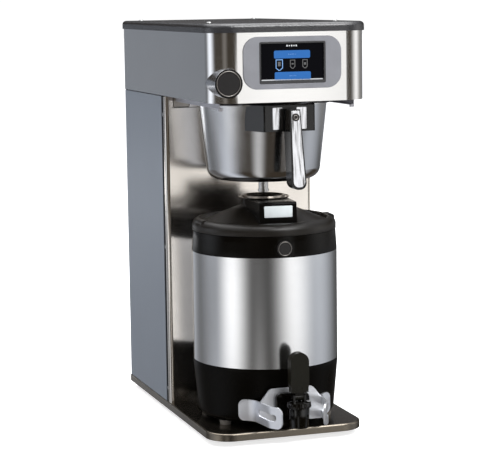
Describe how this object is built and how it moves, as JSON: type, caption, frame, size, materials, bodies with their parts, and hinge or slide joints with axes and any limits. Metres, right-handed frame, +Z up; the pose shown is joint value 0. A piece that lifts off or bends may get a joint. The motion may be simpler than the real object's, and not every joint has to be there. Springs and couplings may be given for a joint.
{
  "type": "commercial coffee brewer",
  "caption": "Tall counter-top coffee brewer with touch screen head, slide-out brew funnel and a round insulated server with lid, faucet and guard on its base plate.",
  "frame": {"origin": "on the counter, centre of the brewer's footprint", "axes": "+Z up, +Y to the rear, +X to the operator's right"},
  "size_m": [0.2952, 0.657, 0.7462],
  "materials": {
    "tray_steel": "brushed, dark reflections",
    "bright_steel": "vertical brushed satin",
    "panel_steel": "brushed satin",
    "side_grey": "fine brushed matte blue-grey",
    "funnel_steel": "polished spun steel",
    "vessel_steel": "mill finish",
    "wire_steel": "bright wire",
    "server_steel": "satin, brushed upright",
    "guard_steel": "bead-blasted satin",
    "lid_ring_steel": "dark reflections",
    "screw_steel": "plain",
    "chrome": "mirror",
    "brass": "machined",
    "copper": "drawn tube",
    "hammered_black": "hammered texture",
    "black_plastic": "moulded",
    "gloss_black": "gloss",
    "server_black": "fine moulded satin",
    "faucet_black": "gloss",
    "handle_black": "satin moulded",
    "badge_black": "satin disc",
    "bezel_grey": "fine pebbled",
    "dark_trim": "satin",
    "screen_black": "polished screen",
    "circuit_green": "board",
    "white_plastic": "moulded",
    "silicone": "soft",
    "rubber_black": "matt",
    "rubber_grey": "matt",
    "lcd_grey": "display window"
  },
  "bodies": {
    "brewer": {"badge_face": "badge_black", "badge_post": "dark_trim", "base_plate": "tray_steel", "casing_screws": "screw_steel", "control_board": "circuit_green", "cord_gland": "black_plastic", "dispense_valve": "black_plastic", "display_board": "circuit_green", "feet": "rubber_black", "fill_tube": "copper", "front_hatch": "black_plastic", "funnel_rails": "panel_steel", "head_floor": "panel_steel", "head_wrap": "bright_steel", "heater_element": "vessel_steel", "inlet_fitting": "brass", "inlet_solenoid": "black_plastic", "level_and_temperature_probes": "vessel_steel", "power_supply": "panel_steel", "rear_panel": "panel_steel", "screen_bezel": "bezel_grey", "screen_frame": "dark_trim", "screen_glass": "screen_black", "spray_head": "white_plastic", "spray_tube": "silicone", "switch_housing": "black_plastic", "tank_body": "vessel_steel", "tank_lid": "vessel_steel", "tank_shelf": "panel_steel", "top_lid": "hammered_black", "trunk_front_cover": "bright_steel", "trunk_side_left": "side_grey", "trunk_side_right": "side_grey"},
    "funnel": {"funnel_body": "funnel_steel", "funnel_nozzle": "vessel_steel", "brew_basket": "wire_steel", "funnel_bracket": "gloss_black", "funnel_handle": "gloss_black", "handle_plate": "chrome", "handle_button": "badge_black", "bracket_trims": "chrome"},
    "server": {"server_base": "server_black", "server_shell": "server_steel", "server_liner": "vessel_steel", "server_collar": "server_black", "collar_badge": "badge_black", "faucet_guard": "guard_steel", "faucet_shank": "vessel_steel", "faucet_body": "faucet_black", "faucet_bonnet": "faucet_black", "server_feet": "rubber_grey"},
    "server_lid": {"lid_shell": "server_black", "lid_ring": "lid_ring_steel", "lid_gasket": "rubber_black", "lid_display_housing": "server_black", "lid_lcd": "lcd_grey"},
    "faucet_lever": {"faucet_handle": "handle_black"},
    "faucet_plunger": {"faucet_stem": "vessel_steel", "seat_cup": "silicone"},
    "rocker": {"power_rocker": "black_plastic"}
  },
  "joints": [
    {"name": "funnel_slide", "type": "slide", "parent": "brewer", "child": "funnel", "axis": [0, -1, 0], "range_m": [0, 0.28]},
    {"name": "server_slide", "type": "slide", "parent": "brewer", "child": "server", "axis": [0, -1, 0], "range_m": [0, 0.32]},
    {"name": "lid_twist", "type": "hinge", "parent": "server", "child": "server_lid", "pos_m": [0, -0.1285, 0.3703], "axis": [0, 0, 1], "range_deg": [0, 30]},
    {"name": "faucet_lever_tilt", "type": "hinge", "parent": "server", "child": "faucet_lever", "pos_m": [0, -0.305, 0.091], "axis": [1, 0, 0], "range_deg": [0, 35], "stiffness_Nm_per_rad": 1.2, "springref_deg": -11.46},
    {"name": "faucet_stem_lift", "type": "slide", "parent": "server", "child": "faucet_plunger", "axis": [0, 0, 1], "range_m": [0, 0.0051]},
    {"name": "power_rocker_tilt", "type": "hinge", "parent": "brewer", "child": "rocker", "pos_m": [-0.092, 0.294, 0.128], "axis": [1, 0, 0], "range_deg": [0, 18]}
  ],
  "couplings": [
    {"joint": "faucet_stem_lift", "follows": "faucet_lever_tilt", "m_per_rad": 0.008185}
  ]
}
